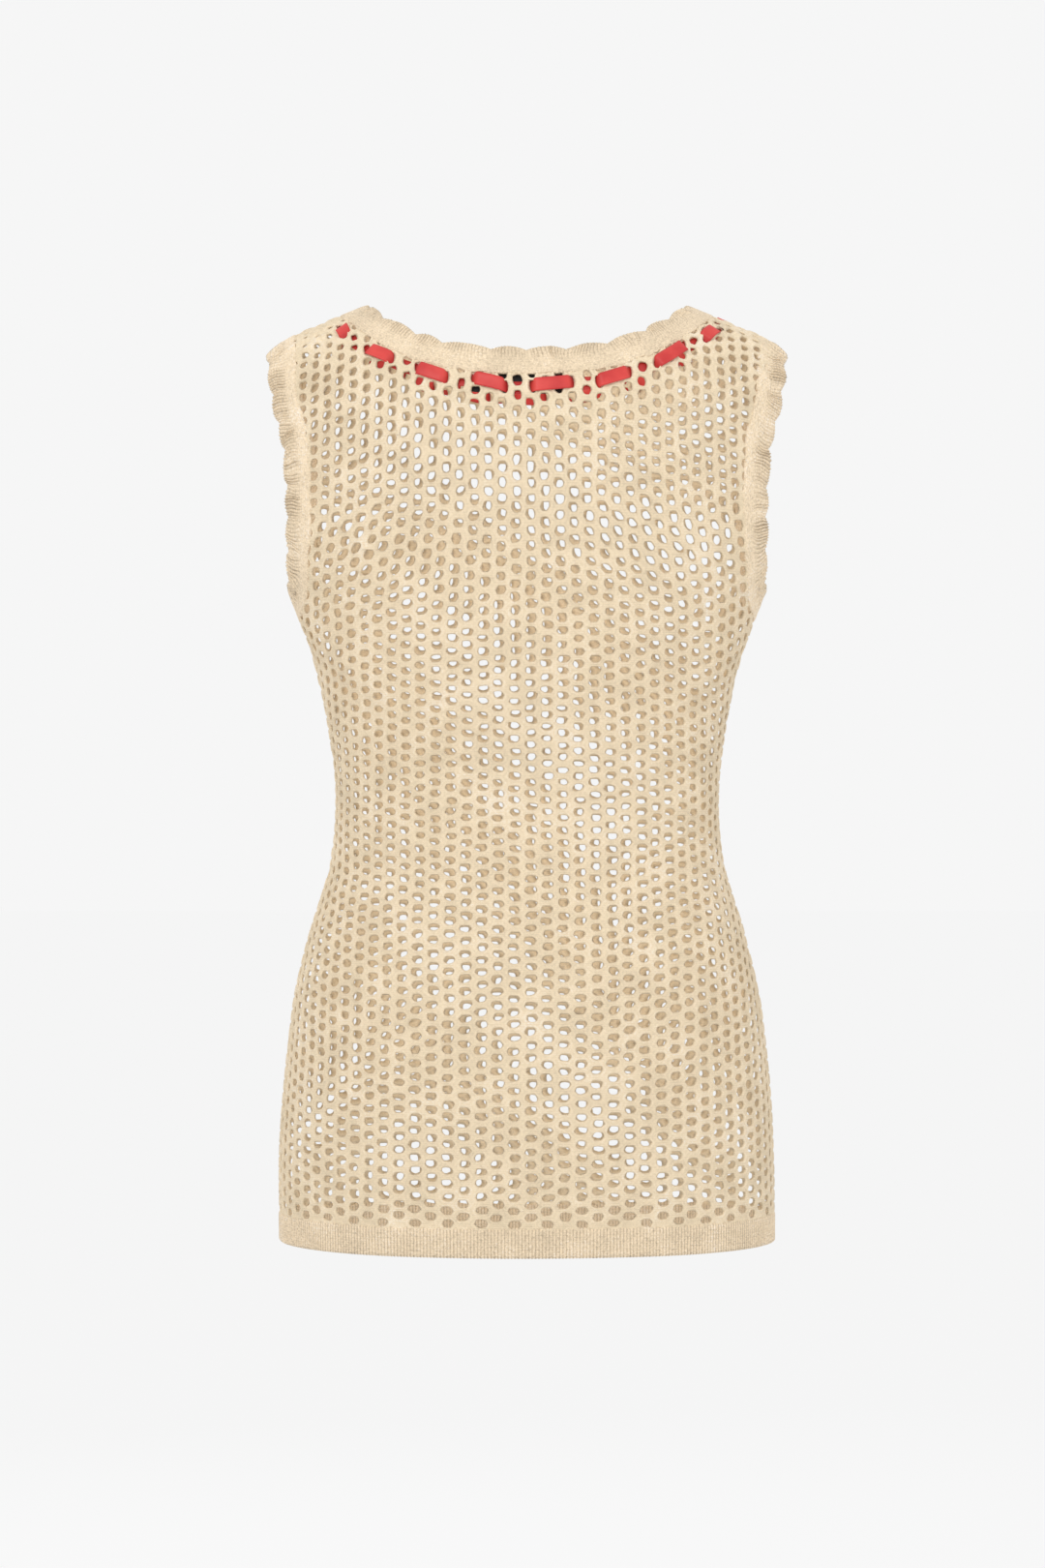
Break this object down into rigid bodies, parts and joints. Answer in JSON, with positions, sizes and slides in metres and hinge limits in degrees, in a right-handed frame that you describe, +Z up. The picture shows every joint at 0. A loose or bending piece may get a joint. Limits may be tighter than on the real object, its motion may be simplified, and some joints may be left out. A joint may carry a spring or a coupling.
{
  "type": "sleeveless knit top",
  "caption": "Sleeveless openwork knit top in its hollow worn form, with scalloped neck and armhole bands, a ribbed hem and a satin ribbon laced below the neck.",
  "frame": {"origin": "midway between the shoulders that carry the top, 0.580 m above the hem, on the middle plane", "axes": "+Z up along the body, -Y the way the wearer faces, +X to the wearer's left"},
  "size_m": [0.3326, 0.2134, 0.6063],
  "materials": {
    "net_knit": "cream openwork knit of soft matt yarn",
    "band_knit": "cream fine knit of the same yarn, faintly ribbed",
    "ribbon_satin": "coral red satin ribbon with a soft sheen",
    "label_tape": "black woven tape, bare"
  },
  "bodies": {
    "root": {"back_panel": "net_knit", "front_panel": "net_knit", "neck_band": "band_knit", "armhole_band_left": "band_knit", "armhole_band_right": "band_knit", "hem_band": "band_knit", "ribbon": "ribbon_satin", "neck_label": "label_tape"}
  },
  "joints": []
}
